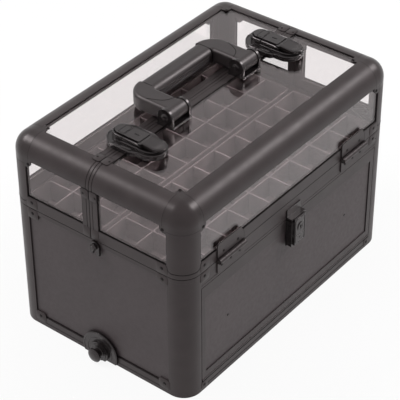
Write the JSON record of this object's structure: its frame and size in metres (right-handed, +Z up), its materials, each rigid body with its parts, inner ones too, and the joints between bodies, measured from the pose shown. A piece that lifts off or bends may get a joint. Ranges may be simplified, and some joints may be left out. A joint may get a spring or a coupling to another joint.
{
  "type": "makeup train case",
  "caption": "Makeup train case with two clear hinged lid halves over lift-out tray linkages, a drop-front door, a folding carry handle and two locking latches.",
  "frame": {"origin": "centre of the base, on the surface the case stands on", "axes": "+X along the length towards the far end, +Y from the door side to the back, +Z up"},
  "size_m": [0.398, 0.2571, 0.272],
  "materials": {
    "frame_black": "satin black coated aluminium profile",
    "corner_black": "satin black cast corner",
    "body_panel": "fine pebbled black ABS sheet",
    "hardware_black": "semi-gloss black coated steel",
    "steel": "dark plated steel",
    "clear_acrylic": "clear polished acrylic sheet",
    "handle_plastic": "semi-gloss moulded black plastic",
    "tray_plastic": "matt black moulded tray",
    "band_fabric": "black woven elastic"
  },
  "bodies": {
    "case_body": {"bottom_panel": "body_panel", "back_panel": "body_panel", "end_panels": "body_panel", "front_belt": "frame_black", "body_posts": "frame_black", "body_top_ring": "frame_black", "base_ring": "frame_black", "base_rails": "frame_black", "front_sill": "frame_black", "strap_studs": "hardware_black", "stacking_knobs": "hardware_black", "body_hinge_leaves": "frame_black", "hinge_pins": "steel", "door_hinge_sill_leaf": "frame_black", "door_latch_keeper": "hardware_black", "tray_arm_pivots": "steel"},
    "front_lid": {"front_lid_rails": "frame_black", "front_lid_corners": "corner_black", "front_lid_posts": "frame_black", "front_lid_ring": "frame_black", "front_closing_frame": "frame_black", "front_lid_top_panel": "clear_acrylic", "front_lid_window": "clear_acrylic", "front_lid_end_windows": "clear_acrylic", "front_hinge_leaves": "frame_black", "handle_brackets": "hardware_black", "handle_pins": "steel", "latch_bases": "hardware_black"},
    "back_lid": {"back_lid_rails": "frame_black", "back_lid_corners": "corner_black", "back_lid_posts": "frame_black", "back_lid_ring": "frame_black", "back_closing_frame": "frame_black", "back_lid_top_panel": "clear_acrylic", "back_lid_window": "clear_acrylic", "back_lid_end_windows": "clear_acrylic", "back_hinge_leaves": "frame_black", "latch_keepers": "hardware_black"},
    "handle": {"handle": "handle_plastic"},
    "near_latch_tab": {"near_latch_tab": "hardware_black"},
    "far_latch_tab": {"far_latch_tab": "hardware_black"},
    "near_lock_barrel": {"near_lock_barrel": "hardware_black"},
    "far_lock_barrel": {"far_lock_barrel": "hardware_black"},
    "front_door": {"door_frame": "frame_black", "door_panel": "body_panel", "door_hinge_leaf": "frame_black", "door_latch_base": "hardware_black", "brush_band": "band_fabric"},
    "door_latch_lever": {"door_latch_lever": "hardware_black"},
    "front_outer_arms": {"front_outer_arms": "steel"},
    "front_inner_arms": {"front_inner_arms": "steel"},
    "front_lid_links": {"front_lid_links": "steel"},
    "front_tray": {"front_tray": "tray_plastic", "front_tray_dividers": "tray_plastic"},
    "back_outer_arms": {"back_outer_arms": "steel"},
    "back_inner_arms": {"back_inner_arms": "steel"},
    "back_lid_links": {"back_lid_links": "steel"},
    "back_tray": {"back_tray": "tray_plastic", "back_tray_dividers": "tray_plastic"}
  },
  "joints": [
    {"name": "front_lid_hinge", "type": "hinge", "parent": "case_body", "child": "front_lid", "pos_m": [0, -0.1231, 0.1629], "axis": [1, 0, 0], "range_deg": [0, 100]},
    {"name": "front_outer_arm_pivot", "type": "hinge", "parent": "case_body", "child": "front_outer_arms", "pos_m": [0, -0.104, 0.156], "axis": [1, 0, 0], "range_deg": [0, 100]},
    {"name": "front_inner_arm_pivot", "type": "hinge", "parent": "case_body", "child": "front_inner_arms", "pos_m": [0, -0.087, 0.156], "axis": [1, 0, 0], "range_deg": [0, 100]},
    {"name": "front_tray_pivot", "type": "hinge", "parent": "front_outer_arms", "child": "front_tray", "pos_m": [0, -0.03092, 0.13913], "axis": [1, 0, 0], "range_deg": [-100, 0]},
    {"name": "front_link_pivot", "type": "hinge", "parent": "front_outer_arms", "child": "front_lid_links", "pos_m": [0, -0.074, 0.165], "axis": [1, 0, 0], "range_deg": [-100, 0]},
    {"name": "back_lid_hinge", "type": "hinge", "parent": "case_body", "child": "back_lid", "pos_m": [0, 0.1231, 0.1629], "axis": [-1, 0, 0], "range_deg": [0, 100]},
    {"name": "back_outer_arm_pivot", "type": "hinge", "parent": "case_body", "child": "back_outer_arms", "pos_m": [0, 0.104, 0.156], "axis": [-1, 0, 0], "range_deg": [0, 100]},
    {"name": "back_inner_arm_pivot", "type": "hinge", "parent": "case_body", "child": "back_inner_arms", "pos_m": [0, 0.087, 0.156], "axis": [-1, 0, 0], "range_deg": [0, 100]},
    {"name": "back_tray_pivot", "type": "hinge", "parent": "back_outer_arms", "child": "back_tray", "pos_m": [0, 0.03092, 0.13913], "axis": [-1, 0, 0], "range_deg": [-100, 0]},
    {"name": "back_link_pivot", "type": "hinge", "parent": "back_outer_arms", "child": "back_lid_links", "pos_m": [0, 0.074, 0.165], "axis": [-1, 0, 0], "range_deg": [-100, 0]},
    {"name": "handle_pivot", "type": "hinge", "parent": "front_lid", "child": "handle", "pos_m": [0, -0.007, 0.262], "axis": [1, 0, 0], "range_deg": [0, 180]},
    {"name": "near_latch_tab_pivot", "type": "hinge", "parent": "front_lid", "child": "near_latch_tab", "pos_m": [-0.1195, -0.0174, 0.2611], "axis": [-1, 0, 0], "range_deg": [0, 60]},
    {"name": "near_lock_turn", "type": "hinge", "parent": "front_lid", "child": "near_lock_barrel", "pos_m": [-0.1195, -0.0049, 0.255], "axis": [0, 0, 1], "range_deg": [0, 90]},
    {"name": "far_latch_tab_pivot", "type": "hinge", "parent": "front_lid", "child": "far_latch_tab", "pos_m": [0.1195, -0.0174, 0.2611], "axis": [-1, 0, 0], "range_deg": [0, 60]},
    {"name": "far_lock_turn", "type": "hinge", "parent": "front_lid", "child": "far_lock_barrel", "pos_m": [0.1195, -0.0049, 0.255], "axis": [0, 0, 1], "range_deg": [0, 90]},
    {"name": "door_hinge", "type": "hinge", "parent": "case_body", "child": "front_door", "pos_m": [0, -0.1186, 0.0146], "axis": [1, 0, 0], "range_deg": [0, 90]},
    {"name": "door_latch_pivot", "type": "hinge", "parent": "front_door", "child": "door_latch_lever", "pos_m": [0, -0.1252, 0.1122], "axis": [1, 0, 0], "range_deg": [0, 90]}
  ],
  "couplings": [
    {"joint": "back_lid_hinge", "follows": "front_lid_hinge", "ratio": 1},
    {"joint": "front_outer_arm_pivot", "follows": "front_lid_hinge", "ratio": 1},
    {"joint": "front_inner_arm_pivot", "follows": "front_lid_hinge", "ratio": 1},
    {"joint": "front_tray_pivot", "follows": "front_lid_hinge", "ratio": -1},
    {"joint": "front_link_pivot", "follows": "front_lid_hinge", "ratio": -1},
    {"joint": "back_outer_arm_pivot", "follows": "front_lid_hinge", "ratio": 1},
    {"joint": "back_inner_arm_pivot", "follows": "front_lid_hinge", "ratio": 1},
    {"joint": "back_tray_pivot", "follows": "front_lid_hinge", "ratio": -1},
    {"joint": "back_link_pivot", "follows": "front_lid_hinge", "ratio": -1}
  ]
}
